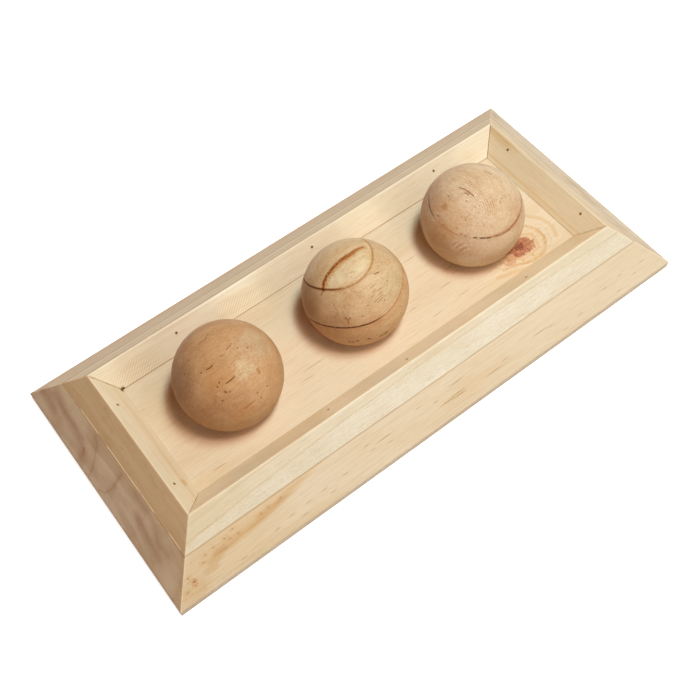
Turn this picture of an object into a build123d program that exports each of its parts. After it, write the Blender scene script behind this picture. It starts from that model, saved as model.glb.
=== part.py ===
"""Bevelled pine tray with three loose wooden balls standing in drilled seats.

Frame: millimetres, +Z up. The origin is on the underside, at the middle of the tray.
X runs along the tray and Y across it; "front" is -Y, "left" is -X.
"""
from build123d import *
import math
import os

# ---- driving dimensions ------------------------------------------------------------
BOARD_LENGTH = 295.0          # underside, along X
BOARD_WIDTH = 136.0           # underside, along Y
BOARD_THICKNESS = 19.0        # planed 3/4 in pine
LAND_HEIGHT = 4.8             # upright strip left under the bevel
ARRIS_CHAMFER = 0.5           # underside edges, broken with sandpaper

RAIL_LEG = 15.0               # 15 mm square strip, sawn corner to corner
RIDGE_RADIUS = 0.4            # the rail's sanded top edge

BALL_DIAMETER = 50.8          # 2 in turned ball
BALL_SPACING = 72.5           # centre to centre
BALL_NAMES = ("ball_left", "ball_middle", "ball_right")

SEAT_DIAMETER = 38.1          # 1-1/2 in flat-bottomed bit
SEAT_DEPTH = 11.0
SEAT_CHAMFER = 0.8            # 45 degrees, round the mouth
SPUR_PIT_DIAMETER = 3.0       # left by the bit's centre spur
SPUR_PIT_DEPTH = 1.5
BALL_CLEARANCE = 0.1          # ball held this far above its seat's edge

BRAD_LENGTH = 25.0            # 18 gauge brad, head to point
BRAD_DIAMETER = 1.0
BRAD_HEAD_DIAMETER = 1.4
BRAD_HEAD_THICKNESS = 0.6
BRAD_POINT_LENGTH = 2.0
BRAD_SET = 1.5                # head's depth below the rail's inner face
TIP_RADIUS = 0.1              # of a brad's point, and of the pit in a seat

# Each side: its turn about Z, and where each of its brads enters, as (distance along
# the side from its middle, height above the tray's floor).
SIDES = {
    "front": (0.0, ((-44.0, 4.2), (-0.5, 7.0), (73.3, 7.0))),
    "right": (90.0, ((-28.2, 7.6), (25.8, 7.5))),
    "back": (180.0, ((-81.0, 6.9), (-3.0, 7.0), (77.0, 6.8))),
    "left": (270.0, ((-23.5, 6.8), (25.8, 7.3))),
}

# ---- worked out --------------------------------------------------------------------
BEVEL_HEIGHT = BOARD_THICKNESS - LAND_HEIGHT
BEVEL_ANGLE = 45.0            # so the bevel runs in by its own height
RAIL_BASE = RAIL_LEG * math.sqrt(2)
RAIL_HEIGHT = RAIL_BASE / 2
TOP_HALF_LENGTH = BOARD_LENGTH / 2 - BEVEL_HEIGHT
TOP_HALF_WIDTH = BOARD_WIDTH / 2 - BEVEL_HEIGHT
BALL_RADIUS = BALL_DIAMETER / 2
SEAT_RADIUS = SEAT_DIAMETER / 2
BALL_CENTRE_HEIGHT = (
    BOARD_THICKNESS - SEAT_CHAMFER
    + math.sqrt(BALL_RADIUS**2 - SEAT_RADIUS**2) + BALL_CLEARANCE
)
BALL_STATIONS = [step * BALL_SPACING for step in (-1, 0, 1)]


def side_directions(side):
    """Unit vectors along a side and from its outer edge towards the tray's middle."""
    turn = math.radians(SIDES[side][0])
    along = Vector(math.cos(turn), math.sin(turn), 0)
    inward = Vector(-math.sin(turn), math.cos(turn), 0)
    return along, inward


def side_reach(side):
    """Half the length of a rail's foot, and the distance from the middle to that foot."""
    if side in ("front", "back"):
        return TOP_HALF_LENGTH, TOP_HALF_WIDTH
    return TOP_HALF_WIDTH, TOP_HALF_LENGTH


def brad_planes(side):
    """Planes on a rail's inner face where its brads enter; Z points out of the wood."""
    along, inward = side_directions(side)
    _, foot_distance = side_reach(side)
    up = Vector(0, 0, 1)
    return [
        Plane(
            origin=along * station - inward * (foot_distance - RAIL_BASE + height)
            + up * (BOARD_THICKNESS + height),
            x_dir=along,
            z_dir=inward + up,
        )
        for station, height in SIDES[side][1]
    ]


def make_brads(side):
    """The brads of one rail: head, shank and point, sunk square to the inner face."""
    shank_length = BRAD_LENGTH - BRAD_HEAD_THICKNESS - BRAD_POINT_LENGTH
    sunk = (Align.CENTER, Align.CENTER, Align.MAX)
    with BuildPart() as brads:
        for entry in brad_planes(side):
            under_head = entry.offset(-BRAD_SET - BRAD_HEAD_THICKNESS)
            with Locations(entry.offset(-BRAD_SET)):
                Cylinder(BRAD_HEAD_DIAMETER / 2, BRAD_HEAD_THICKNESS, align=sunk)
            with Locations(under_head):
                Cylinder(BRAD_DIAMETER / 2, shank_length, align=sunk)
            with Locations(under_head.offset(-shank_length)):
                Cone(TIP_RADIUS, BRAD_DIAMETER / 2, BRAD_POINT_LENGTH, align=sunk)
    brads.part.label = f"brads_{side}"
    return brads.part


def make_rail(side, brads):
    """One triangular rail, mitred at both ends and drilled where its brads pass."""
    along, inward = side_directions(side)
    half_run, foot_distance = side_reach(side)
    foot = Vector(0, 0, BOARD_THICKNESS) - inward * foot_distance
    with BuildPart() as rail:
        with BuildSketch(Plane(origin=foot, x_dir=inward, z_dir=along)) as section:
            with BuildLine():
                Polyline((0, 0), (RAIL_BASE, 0), (RAIL_BASE / 2, RAIL_HEIGHT), close=True)
            make_face()
            fillet(section.vertices().sort_by(Axis.Y)[-1], RIDGE_RADIUS)
        extrude(amount=half_run, both=True)
        for end in (along, -along):
            mitre = Plane(origin=foot + end * half_run, z_dir=end + inward)
            split(bisect_by=mitre, keep=Keep.BOTTOM)
        add(brads, mode=Mode.SUBTRACT)
        with Locations(*brad_planes(side)):
            Hole(BRAD_HEAD_DIAMETER / 2, depth=BRAD_SET)
    rail.part.label = f"rail_{side}"
    return rail.part


# ---- brads and rails ---------------------------------------------------------------
all_brads = {side: make_brads(side) for side in SIDES}
rails = {side: make_rail(side, all_brads[side]) for side in SIDES}

# ---- base board: bevelled on all four sides, with three seats -------------------------
with BuildPart() as base_board:
    with BuildSketch():
        Rectangle(BOARD_LENGTH, BOARD_WIDTH)
    extrude(amount=LAND_HEIGHT)
    with BuildSketch(Plane.XY.offset(LAND_HEIGHT)):
        Rectangle(BOARD_LENGTH, BOARD_WIDTH)
    extrude(amount=BEVEL_HEIGHT, taper=BEVEL_ANGLE)
    chamfer(base_board.faces().sort_by(Axis.Z)[0].edges(), ARRIS_CHAMFER)

    with Locations(*[(x, 0, BOARD_THICKNESS) for x in BALL_STATIONS]):
        Hole(SEAT_DIAMETER / 2, depth=SEAT_DEPTH)
    seat_mouths = base_board.edges().filter_by(GeomType.CIRCLE).group_by(Axis.Z)[-1]
    chamfer(seat_mouths, SEAT_CHAMFER)
    with Locations(*[(x, 0, BOARD_THICKNESS - SEAT_DEPTH) for x in BALL_STATIONS]):
        Cone(
            TIP_RADIUS, SPUR_PIT_DIAMETER / 2, SPUR_PIT_DEPTH,
            align=(Align.CENTER, Align.CENTER, Align.MAX), mode=Mode.SUBTRACT,
        )
    for brads in all_brads.values():
        add(brads, mode=Mode.SUBTRACT)
base_board.part.label = "base_board"

# ---- balls -------------------------------------------------------------------------
balls = []
for name, x in zip(BALL_NAMES, BALL_STATIONS):
    with BuildPart() as ball:
        with Locations((x, 0, BALL_CENTRE_HEIGHT)):
            Sphere(BALL_RADIUS)
    ball.part.label = name
    balls.append(ball.part)

# ---- one STEP file for each node -----------------------------------------------------
os.makedirs("parts", exist_ok=True)
for part in [base_board.part, *rails.values(), *all_brads.values(), *balls]:
    export_step(part, f"parts/{part.label}.step")
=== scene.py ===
"""Looks for the bevelled pine tray with three loose wooden balls.

Metres, in the CAD frame: X along the tray, Y across it, Z up, the underside at Z = 0.
"""
import math

import bmesh
import bpy
from mathutils import Matrix, Vector
from mathutils import noise as mnoise


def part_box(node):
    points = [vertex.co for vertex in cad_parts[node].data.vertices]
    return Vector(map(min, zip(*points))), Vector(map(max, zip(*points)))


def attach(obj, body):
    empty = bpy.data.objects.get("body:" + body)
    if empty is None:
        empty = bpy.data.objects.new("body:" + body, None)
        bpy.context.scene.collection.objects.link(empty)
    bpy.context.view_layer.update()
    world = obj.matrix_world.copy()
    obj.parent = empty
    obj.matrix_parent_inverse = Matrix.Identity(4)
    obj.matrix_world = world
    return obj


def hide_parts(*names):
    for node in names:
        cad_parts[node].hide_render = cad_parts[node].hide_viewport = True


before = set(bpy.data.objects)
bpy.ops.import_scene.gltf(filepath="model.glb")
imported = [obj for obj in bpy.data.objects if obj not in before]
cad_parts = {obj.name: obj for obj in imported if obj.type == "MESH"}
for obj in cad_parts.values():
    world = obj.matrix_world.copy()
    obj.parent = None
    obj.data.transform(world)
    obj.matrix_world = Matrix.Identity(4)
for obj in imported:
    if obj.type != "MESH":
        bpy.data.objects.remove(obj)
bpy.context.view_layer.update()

MM = 0.001
UP = Vector((0, 0, 1))
ALONG = (1, 0, 0)                               # the length of the tray

# ---- sizes that the looks share with the CAD parts ----
board_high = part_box("base_board")[1]
BOARD_HALF = (board_high.x, board_high.y)
FLOOR_HEIGHT = board_high.z                     # the tray's floor is the board's top
LAND_HEIGHT = 4.8 * MM
BOTTOM_EASE = 0.5 * MM                          # the underside's broken edges
BEVEL_RUN = FLOOR_HEIGHT - LAND_HEIGHT          # the bevel stands at 45 degrees
rail_low, rail_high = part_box("rail_front")
RAIL_BASE = rail_high.y - rail_low.y
RAIL_HEIGHT = RAIL_BASE / 2
RIDGE_RADIUS = 0.4 * MM
SEAT_RADIUS, SEAT_DEPTH, SEAT_CHAMFER = 19.05 * MM, 11.0 * MM, 0.8 * MM
PIT_RADIUS, PIT_DEPTH = 1.5 * MM, 1.5 * MM      # left by the bit's spur in a seat
BRAD_RADIUS, BRAD_HEAD_RADIUS = 0.5 * MM, 0.7 * MM
# Below the rail's inner face: the underside of a brad's head, its point's root, its tip.
HEAD_DEPTH, POINT_DEPTH, TIP_DEPTH = 2.1 * MM, 24.5 * MM, 26.5 * MM
BALLS = ("ball_left", "ball_middle", "ball_right")

# Each side's direction along its run, and where each of its brads enters, as (distance
# along the side from its middle, height above the tray's floor), in millimetres.
SIDES = {
    "front": ((1, 0), ((-44.0, 4.2), (-0.5, 7.0), (73.3, 7.0))),
    "right": ((0, 1), ((-28.2, 7.6), (25.8, 7.5))),
    "back": ((-1, 0), ((-81.0, 6.9), (-3.0, 7.0), (77.0, 6.8))),
    "left": ((0, -1), ((-23.5, 6.8), (25.8, 7.3))),
}


# ---- mesh helpers ----
SHARP_ANGLE = math.radians(30)


def loft(name, rows, caps=()):
    """A smooth solid through rows of places, each a closed loop.

    One face closes each end, or else caps does, as pairs of places and faces between them.
    """
    count, last = len(rows[0]), (len(rows) - 1) * len(rows[0])
    vertices = [tuple(place) for row in rows for place in row]
    faces = [
        (k + i, k + (i + 1) % count, k + count + (i + 1) % count, k + count + i)
        for k in range(0, last, count)
        for i in range(count)
    ]
    if not caps:
        faces += [list(range(count))[::-1], [last + i for i in range(count)]]
    for places, cap_faces in caps:
        faces += [[len(vertices) + corner for corner in face] for face in cap_faces]
        vertices += places
    mesh = bpy.data.meshes.new(name)
    mesh.from_pydata(vertices, [], faces)
    clean = bmesh.new()
    clean.from_mesh(mesh)
    bmesh.ops.remove_doubles(clean, verts=clean.verts, dist=0.002 * MM)
    bmesh.ops.recalc_face_normals(clean, faces=clean.faces)
    clean.to_mesh(mesh)
    clean.free()
    return add_object(name, mesh)


def add_object(name, mesh):
    """An object for a mesh: smooth, with sharp edges where its faces turn sharply."""
    mesh.shade_smooth()
    mesh.set_sharp_from_angle(angle=SHARP_ANGLE)
    piece = bpy.data.objects.new(name, mesh)
    bpy.context.scene.collection.objects.link(piece)
    return piece


def cut(piece, cutters):
    """Takes the cutters' shapes out of a piece for good."""
    for cutter in cutters:
        modifier = piece.modifiers.new("cut", "BOOLEAN")
        modifier.operation, modifier.solver = "DIFFERENCE", "EXACT"
        modifier.object = cutter
    bpy.context.view_layer.update()
    graph = bpy.context.evaluated_depsgraph_get()
    mesh = bpy.data.meshes.new_from_object(piece.evaluated_get(graph))
    piece.modifiers.clear()
    mesh.shade_smooth()
    mesh.set_sharp_from_angle(angle=SHARP_ANGLE)
    piece.data = mesh
    for cutter in cutters:
        bpy.data.objects.remove(cutter)


def turned_cutter(profile, segments, origin, axis):
    """A closed solid of revolution: profile points are (radius, height along the axis)."""
    rotation = Vector(axis).to_track_quat("Z", "Y").to_matrix()
    turns = [2 * math.pi * k / segments for k in range(segments)]
    return loft("cutter", [
        [origin + rotation @ Vector((r * math.cos(t), r * math.sin(t), h)) for t in turns]
        for r, h in profile
    ])


def arc(centre, radius, start, end, steps):
    """Points of an arc, angles in degrees."""
    turns = [math.radians(start + (end - start) * k / steps) for k in range(steps + 1)]
    return [(centre[0] + radius * math.cos(t), centre[1] + radius * math.sin(t)) for t in turns]


def points_between(start, end, steps):
    """Evenly spaced points between start and end, the ends left out."""
    return [
        tuple(a + (b - a) * k / steps for a, b in zip(start, end)) for k in range(1, steps)
    ]


def claim(piece, node, body):
    """Hides the CAD node that a piece replaces, and hangs the piece on the body it rides."""
    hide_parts(node)
    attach(piece, body)


# ---- rails ----
ARRIS = 0.15 * MM               # how much a joint's edges are worn back
JOINT_GAP = 0.05 * MM           # daylight in a mitre
FACE_STEPS = 22                 # rows up a rail's face
STEP, RIPPLED_STEP = 1.3 * MM, 0.55 * MM        # along a rail; the back one has ripples
END_STEPS = (1.0, 0.6, 0.3, 0.0)                # extra rows near a mitre, in millimetres
WAVE = 0.05 * MM                # how far a rail's faces wave
WAVES_ALONG, WAVES_ACROSS = 12, 90              # waves in a metre, along the grain and across
# A brad's hole: fibres close over the head. Points are (radius, height), in millimetres.
BRAD_MOUTH = ((0.55, -0.8), (0.44, -0.3), (0.50, 0.0), (0.65, 0.3))
BRAD_PLAY = 0.02 * MM


def side_frame(side):
    """Unit vectors along and inward, half the foot's length, and the foot's distance."""
    (ax, ay), _ = SIDES[side]
    along, inward = Vector((ax, ay, 0)), Vector((-ay, ax, 0))
    half = [h - BEVEL_RUN for h in BOARD_HALF]
    if ax:
        return along, inward, half[0], half[1]
    return along, inward, half[1], half[0]


def rail_profile():
    """The rail's section as (inward, up, outward normal) from its outer foot and round."""
    s = math.sqrt(0.5)
    ridge = (RAIL_BASE / 2, RAIL_HEIGHT - RIDGE_RADIUS * math.sqrt(2))
    outer_top = (ridge[0] - RIDGE_RADIUS * s, ridge[1] + RIDGE_RADIUS * s)
    inner_top = (ridge[0] + RIDGE_RADIUS * s, ridge[1] + RIDGE_RADIUS * s)
    outer_foot, inner_foot = (ARRIS, ARRIS), (RAIL_BASE - ARRIS, ARRIS)
    points = [(ARRIS * 1.6, 0.0, 0, -1), outer_foot + (-s, s)]
    points += [p + (-s, s) for p in points_between(outer_foot, outer_top, FACE_STEPS)]
    points += [
        (x, y, (x - ridge[0]) / RIDGE_RADIUS, (y - ridge[1]) / RIDGE_RADIUS)
        for x, y in arc(ridge, RIDGE_RADIUS, 135, 45, 5)
    ]
    points += [p + (s, s) for p in points_between(inner_top, inner_foot, FACE_STEPS)]
    return points + [inner_foot + (s, s), (RAIL_BASE - ARRIS * 1.6, 0.0, 0, -1)]


def surface_wave(spot, along, seed):
    """Smooth noise, stretched along the grain direction."""
    t = spot.dot(along)
    across = spot - along * t
    shift = Vector((seed, 0, 0))
    return WAVE * mnoise.noise(across * WAVES_ACROSS + along * t * WAVES_ALONG + shift)


RIPPLE_WAY = Vector((0.70, -0.505, -0.505))     # across the saw ripples of the back rail
RIPPLE_PERIOD, RIPPLE_HEIGHT = 1.15 * MM, 0.02 * MM
RIPPLE_PATCHES = ((-103, 12), (-40, 20))        # where along X, and how far they spread, in mm


def ripple(spot):
    """Saw ripples on the back rail's inner face: patches that fade out."""
    wave = math.sin(2 * math.pi * spot.dot(RIPPLE_WAY) / RIPPLE_PERIOD)
    patch = sum(math.exp(-(((spot.x / MM - x) / spread) ** 2)) for x, spread in RIPPLE_PATCHES)
    return RIPPLE_HEIGHT * wave * min(patch, 1.0)


# A chip lost from the foot of the mitre between the back and left rails.
CHIP = Vector((
    -(BOARD_HALF[0] - BEVEL_RUN - RAIL_BASE),
    BOARD_HALF[1] - BEVEL_RUN - RAIL_BASE,
    FLOOR_HEIGHT + 0.9 * MM,
))
CHIP_REACH, CHIP_DEPTH = 0.85 * MM, 0.8 * MM


def chip_depth(spot):
    """How much of the rail the chip takes at a place."""
    away = (spot - CHIP).length / CHIP_REACH
    return CHIP_DEPTH * max(0.0, 1.0 - away * away)


def make_rail(side, seed):
    """One rail: its section lofted from mitre to mitre, a little wavy, with brad holes."""
    along, inward, half_run, foot_distance = side_frame(side)
    foot = UP * FLOOR_HEIGHT - inward * foot_distance
    steps = int(2 * half_run / (RIPPLED_STEP if side == "back" else STEP))
    near_end = [1 - reach * MM / half_run for reach in END_STEPS]
    stations = [-reach for reach in near_end[::-1]]
    stations += [k for k in (-1 + 2 * k / steps for k in range(1, steps)) if abs(k) < near_end[0]]
    stations += near_end
    profile, rows = rail_profile(), []
    for station in stations:
        row = []
        for d, h, nd, nh in profile:
            spot = foot + along * station * (half_run - d - JOINT_GAP / 2) + inward * d + UP * h
            wave = surface_wave(spot, along, seed) if nh > 0 else 0.0
            if side == "back" and nd > 0.5:
                wave += ripple(spot)
            if side in ("back", "left") and nd > 0.5:
                wave -= chip_depth(spot)
            if abs(station) == 1:
                wave -= ARRIS
            row.append(spot + (inward * nd + UP * nh) * wave)
        rows.append(row)
    rail = loft(f"{side}_rail", rows)
    cut(rail, brad_holes(side))
    claim(rail, f"rail_{side}", "tray")
    return rail


def brad_entries(side):
    """Where one side's brads enter its rail's inner face."""
    along, inward, _, foot_distance = side_frame(side)
    return [
        along * station * MM
        - inward * (foot_distance - RAIL_BASE + height * MM)
        + UP * (FLOOR_HEIGHT + height * MM)
        for station, height in SIDES[side][1]
    ]


def brad_holes(side):
    """Cutters for one rail's brads: a driven mouth over the hole that the brad fills."""
    shank, head = BRAD_RADIUS + BRAD_PLAY, BRAD_HEAD_RADIUS + BRAD_PLAY
    profile = [
        (0.6 * BRAD_RADIUS, -TIP_DEPTH - 5 * BRAD_PLAY),
        (shank, -POINT_DEPTH),
        (shank, -HEAD_DEPTH - BRAD_PLAY),
        (head, -HEAD_DEPTH - BRAD_PLAY),
    ]
    profile += [(radius * MM, height * MM) for radius, height in BRAD_MOUTH]
    out = (side_frame(side)[1] + UP).normalized()
    return [turned_cutter(profile, 20, entry, out) for entry in brad_entries(side)]


# ---- base board ----
BOARD_STEP = 1.5 * MM
BEVEL_STEPS, LAND_STEPS = 15, 4                 # rows up the bevel and the upright land
EASE = 0.35 * MM                                # the edge between them, rubbed round


def board_section():
    """The board's edge as (distance inward, height) from its underside to its top."""
    land_end, bevel_start = (0.0, LAND_HEIGHT - EASE), (EASE, LAND_HEIGHT + EASE)
    bevel_end = (BEVEL_RUN - ARRIS, FLOOR_HEIGHT - ARRIS)
    section = [(BOTTOM_EASE, 0.0), (0.4 * BOTTOM_EASE, 0.4 * BOTTOM_EASE), (0.0, BOTTOM_EASE)]
    section += points_between(section[-1], land_end, LAND_STEPS)
    section += [land_end, (0.1 * MM, LAND_HEIGHT), bevel_start]
    section += points_between(bevel_start, bevel_end, BEVEL_STEPS)
    return section + [bevel_end, (BEVEL_RUN + ARRIS * 0.6, FLOOR_HEIGHT)]


def seat_cutter(ball):
    """One ball's seat: flat bottom, the pit of the bit's spur, and a chamfered mouth."""
    low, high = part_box(ball)
    bottom, mouth = FLOOR_HEIGHT - SEAT_DEPTH, SEAT_RADIUS + SEAT_CHAMFER
    corner, above = 0.2 * MM, 1.0 * MM
    profile = [
        (0.1 * MM, bottom - PIT_DEPTH),
        (PIT_RADIUS, bottom),
        (SEAT_RADIUS - corner, bottom),
        (SEAT_RADIUS, bottom + corner),
        (SEAT_RADIUS, FLOOR_HEIGHT - SEAT_CHAMFER),
        (mouth, FLOOR_HEIGHT),
        (mouth + above, FLOOR_HEIGHT + above),
    ]
    return turned_cutter(profile, 96, Vector(((low.x + high.x) / 2, 0, 0)), UP)


def make_board():
    """The bevelled board, with fine grids over its top and underside, seats and brad holes."""
    across, deep = (int(2 * half / BOARD_STEP) for half in BOARD_HALF)
    us = [-1 + 2 * k / across for k in range(across + 1)]
    vs = [-1 + 2 * k / deep for k in range(deep + 1)]
    rim = [(u, -1) for u in us[:-1]] + [(1, v) for v in vs[:-1]]
    rim += [(u, 1) for u in us[:0:-1]] + [(-1, v) for v in vs[:0:-1]]

    def places(shares, inset, height):
        half = [size - inset for size in BOARD_HALF]
        return [(u * half[0], v * half[1], height) for u, v in shares]

    section = board_section()
    grid = [(u, v) for v in vs for u in us]
    squares = [
        (a, a + 1, a + across + 2, a + across + 1)
        for j in range(deep)
        for a in range(j * (across + 1), j * (across + 1) + across)
    ]
    caps = [(places(grid, *section[end]), squares) for end in (0, -1)]
    board = loft("tray_board", [places(rim, *point) for point in section], caps)
    holes = [cutter for side in SIDES for cutter in brad_holes(side)]
    cut(board, [seat_cutter(name) for name in BALLS] + holes)
    claim(board, "base_board", "tray")
    return board


# ---- balls ----
BALL_WAVE = 0.05 * MM           # how far a ball is from round


def make_ball(node, body, seed):
    """A turned ball: not quite round, and never larger than its CAD sphere."""
    low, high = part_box(node)
    radius = (high.z - low.z) / 2
    ball = bmesh.new()
    bmesh.ops.create_icosphere(ball, subdivisions=6, radius=radius)
    for vertex in ball.verts:
        direction = vertex.co.normalized()
        wave = mnoise.noise(direction * 2.2 + Vector((seed, 0, 0))) - 0.6
        vertex.co = direction * (radius + BALL_WAVE * wave)
    mesh = bpy.data.meshes.new(f"{body}_turned")
    ball.to_mesh(mesh)
    ball.free()
    mesh.transform(Matrix.Translation((low + high) / 2))
    piece = add_object(mesh.name, mesh)
    claim(piece, node, body)
    return piece


# ---- materials: arithmetic on nodes ----
def plug(tree, value, socket):
    """Feeds a socket from another node, or sets its value."""
    if isinstance(value, Field):
        tree.links.new(value.socket, socket)
    else:
        socket.default_value = value


def add_node(tree, kind, values, output=0, **settings):
    """Adds a shader node; values go to its inputs by number or name. Returns one output."""
    node = tree.nodes.new("ShaderNode" + kind)
    for setting, value in settings.items():
        setattr(node, setting, value)
    for key, value in values.items():
        plug(tree, value, node.inputs[key])
    return Field(tree, node.outputs[output])


class Field:
    """A number or a vector inside a material: arithmetic on it adds the nodes for it."""

    def __init__(self, tree, socket):
        self.tree, self.socket = tree, socket

    def math(self, operation, other=0.0):
        return add_node(self.tree, "Math", {0: self, 1: other}, operation=operation)

    def __add__(self, other):
        return self.math("ADD", other)

    def __sub__(self, other):
        return self.math("SUBTRACT", other)

    def __rsub__(self, other):
        return add_node(self.tree, "Math", {0: other, 1: self}, operation="SUBTRACT")

    def __mul__(self, other):
        return self.math("MULTIPLY", other)

    __radd__, __rmul__ = __add__, __mul__

    def between(self, start, end):
        """0 until start, 1 from end on, and smooth between; falling where start > end."""
        values = {0: self, 1: start, 2: end}
        return add_node(self.tree, "MapRange", values, interpolation_type="SMOOTHSTEP")

    def near(self, reach, core):
        """1 where this number is within core of 0, and 0 past reach."""
        return self.math("ABSOLUTE").between(reach, core)

    def vector(self, operation, other=(0, 0, 0)):
        """The result of a vector operation, as a number or a vector."""
        is_number = operation in ("DOT_PRODUCT", "LENGTH", "DISTANCE")
        output = "Value" if is_number else "Vector"
        return add_node(self.tree, "VectorMath", {0: self, 1: other}, output, operation=operation)

    def scaled(self, factor):
        """This vector times a number."""
        values = {0: self, "Scale": factor}
        return add_node(self.tree, "VectorMath", values, operation="SCALE")

    def dot(self, direction):
        """How far this vector reaches in a direction."""
        return self.vector("DOT_PRODUCT", direction)

    def along(self, direction):
        """This number times a fixed direction, as a vector."""
        values = {0: direction, "Scale": self}
        return add_node(self.tree, "VectorMath", values, operation="SCALE")

    def noise(self, scale=1.0, detail=2.0, roughness=0.5, distortion=0.0):
        """Noise at this place, about 0.5 on average."""
        return add_node(self.tree, "TexNoise", {
            "Vector": self, "Scale": scale, "Detail": detail, "Roughness": roughness,
            "Distortion": distortion,
        })


class Wood:
    """One piece's wood: a pale base darkened layer by layer, and its fine relief."""

    def __init__(self, name, tone, grain, seed):
        self.material = bpy.data.materials.new(name)
        self.material.use_nodes = True
        self.tree = self.material.node_tree
        self.inputs = self.tree.nodes["Principled BSDF"].inputs
        source = self.tree.nodes.new("ShaderNodeTexCoord").outputs
        self.place = Field(self.tree, source["Object"]).scaled(1 / MM)
        self.grain = Vector(grain).normalized()
        self.facing = Field(self.tree, source["Normal"])
        self.end = self.facing.dot(self.grain).math("ABSOLUTE")
        self.spot = self.place.vector("ADD", (31.7 * seed, 11.3 * seed, 7.9 * seed))
        self.colour, self.height, self.dull = (*tone, 1.0), None, None

    def stretch(self, place, along, across):
        """A place with its scale changed along the grain and across it."""
        run = place.dot(self.grain) * (along - across)
        return place.scaled(across).vector("ADD", run.along(self.grain))

    def fibre(self, along, across, detail=2.0, distortion=0.0):
        """Noise drawn out along the grain; along and across are its sizes in millimetres."""
        return self.stretch(self.spot, 1 / along, 1 / across).noise(1.0, detail, 0.55, distortion)

    def tint(self, mask, colour, strength=1.0):
        """Multiplies the colour where the mask is 1."""
        factor = mask if strength == 1.0 else mask * strength
        values = {0: factor, 6: self.colour, 7: (*colour, 1.0)}
        self.colour = add_node(
            self.tree, "Mix", values, 2, data_type="RGBA", blend_type="MULTIPLY"
        )

    def lift(self, amount):
        """Adds to the relief, in millimetres."""
        self.height = amount if self.height is None else self.height + amount

    def radius(self, point, direction, wobble):
        """Distance from the pith, the line at the tree's heart, with a wobble."""
        direction = Vector(direction).normalized()
        away = self.place.vector("SUBTRACT", point)
        across = away.vector("SUBTRACT", away.dot(direction).along(direction)).vector("LENGTH")
        return across + (self.fibre(70, 16, 1.0) - 0.5) * (2 * wobble)

    def ring(self, radius, at, line, fade):
        """Late wood of one year: sharp on the bark side, fading towards the pith."""
        past = radius - at
        return past.between(line, 0.0) * past.between(-fade, 0.0).math("POWER", 1.6)

    def flecks(self, length, width, share, fill=0.14, seed=0.0):
        """Short dashes along the grain: share of the places have one, fill sets how dense."""
        place = self.spot.vector("ADD", (seed, 2.3 * seed, 3.1 * seed))
        place = self.stretch(place, fill / length, fill / width)
        cells = self.tree.nodes.new("ShaderNodeTexVoronoi")
        cells.inputs["Scale"].default_value = 1.0
        plug(self.tree, place, cells.inputs["Vector"])
        away = Field(self.tree, cells.outputs["Distance"])
        scattered = Field(self.tree, cells.outputs["Color"])
        chance = add_node(self.tree, "SeparateColor", {0: scattered})
        return away.between(fill * 0.55, fill * 0.2) * chance.between(1 - share, 1 - 0.4 * share)

    def nearest(self, gaps, ragged, scale):
        """The least of several distances, made uneven by noise of a scale where ragged."""
        least = gaps[0]
        for gap in gaps[1:]:
            least = least.math("MINIMUM", gap)
        if ragged:
            least = least + (self.spot.noise(scale) - 0.5) * (2 * ragged)
        return least

    def marks(self, spots, reach, ragged=0.0):
        """1 at each chosen spot, gone at reach, which is (along the grain, across it)."""
        along, across = 1 / reach[0], 1 / reach[1]
        place = self.stretch(self.place, along, across)
        gaps = []
        for spot in map(Vector, spots):
            here = spot * across + self.grain * spot.dot(self.grain) * (along - across)
            gaps.append(place.vector("DISTANCE", here))
        return self.nearest(gaps, ragged, 1.2).between(1.0, 0.35)

    def dab(self, spots, reach, ragged, colour, strength=1.0):
        """Tints round chosen spots."""
        self.tint(self.marks(spots, reach, ragged), colour, strength)

    def strokes(self, paths, width, ragged=0.0):
        """1 along the chosen paths, each a row of places; gone at width to either side."""
        gaps = []
        for start, end in (pair for path in paths for pair in zip(path, path[1:])):
            run = Vector(end) - Vector(start)
            away = self.place.vector("SUBTRACT", start)
            share = away.dot(run) * (1 / run.length_squared)
            share = share.math("MAXIMUM", 0.0).math("MINIMUM", 1.0)
            gaps.append(away.vector("SUBTRACT", share.along(run)).vector("LENGTH"))
        return self.nearest(gaps, ragged, 1.6).between(width, width * 0.3)

    def draw(self, paths, width, ragged, colour, strength=1.0):
        """Tints along chosen paths."""
        self.tint(self.strokes(paths, width, ragged), colour, strength)

    def outward(self):
        """1 on faces that look away from the tray's middle."""
        across = self.place.vector("MULTIPLY", (1.0, 1.0, 0.0))
        return self.facing.dot(across).between(2.0, 6.0)

    def painted_corner_highlights(self):
        """Painted highlights along the outer corners of the mitres."""
        folded = self.place.vector("ABSOLUTE")
        skew = folded.dot((1, -1, 0)) - (BOARD_HALF[0] - BOARD_HALF[1]) / MM
        self.tint(skew.near(0.7, 0.25) * self.outward(), (1.16, 1.20, 1.24), 0.9)

    def blacken(self, spots, reach, ragged=0.1):
        """Painted shade in holes: a near-black core that doesn't shine, with a soft brown rim."""
        self.dab(spots, [1.4 * value for value in reach], ragged, (0.84, 0.58, 0.30), 0.85)
        inside = self.marks(spots, reach, ragged)
        # The near-black core is painted shade in the hollow.
        self.tint(inside, (0.03, 0.015, 0.01))
        self.dull = inside if self.dull is None else self.dull.math("MAXIMUM", inside)

    def finish(self, roughness, spread=0.08, gloss=0.4):
        """Joins colour, roughness and relief to the shader."""
        rough = (self.fibre(12, 0.5) - 0.5) * (2 * spread) + roughness
        if self.dull is not None:
            gloss = (1.0 - self.dull) * gloss
        values = {"Strength": 1.0, "Distance": MM, "Height": self.height}
        bump = add_node(self.tree, "Bump", values)
        for value, name in (
            (self.colour, "Base Color"), (rough, "Roughness"), (gloss, "Specular IOR Level"),
            (bump, "Normal"),
        ):
            plug(self.tree, value, self.inputs[name])
        return self.material


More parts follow.
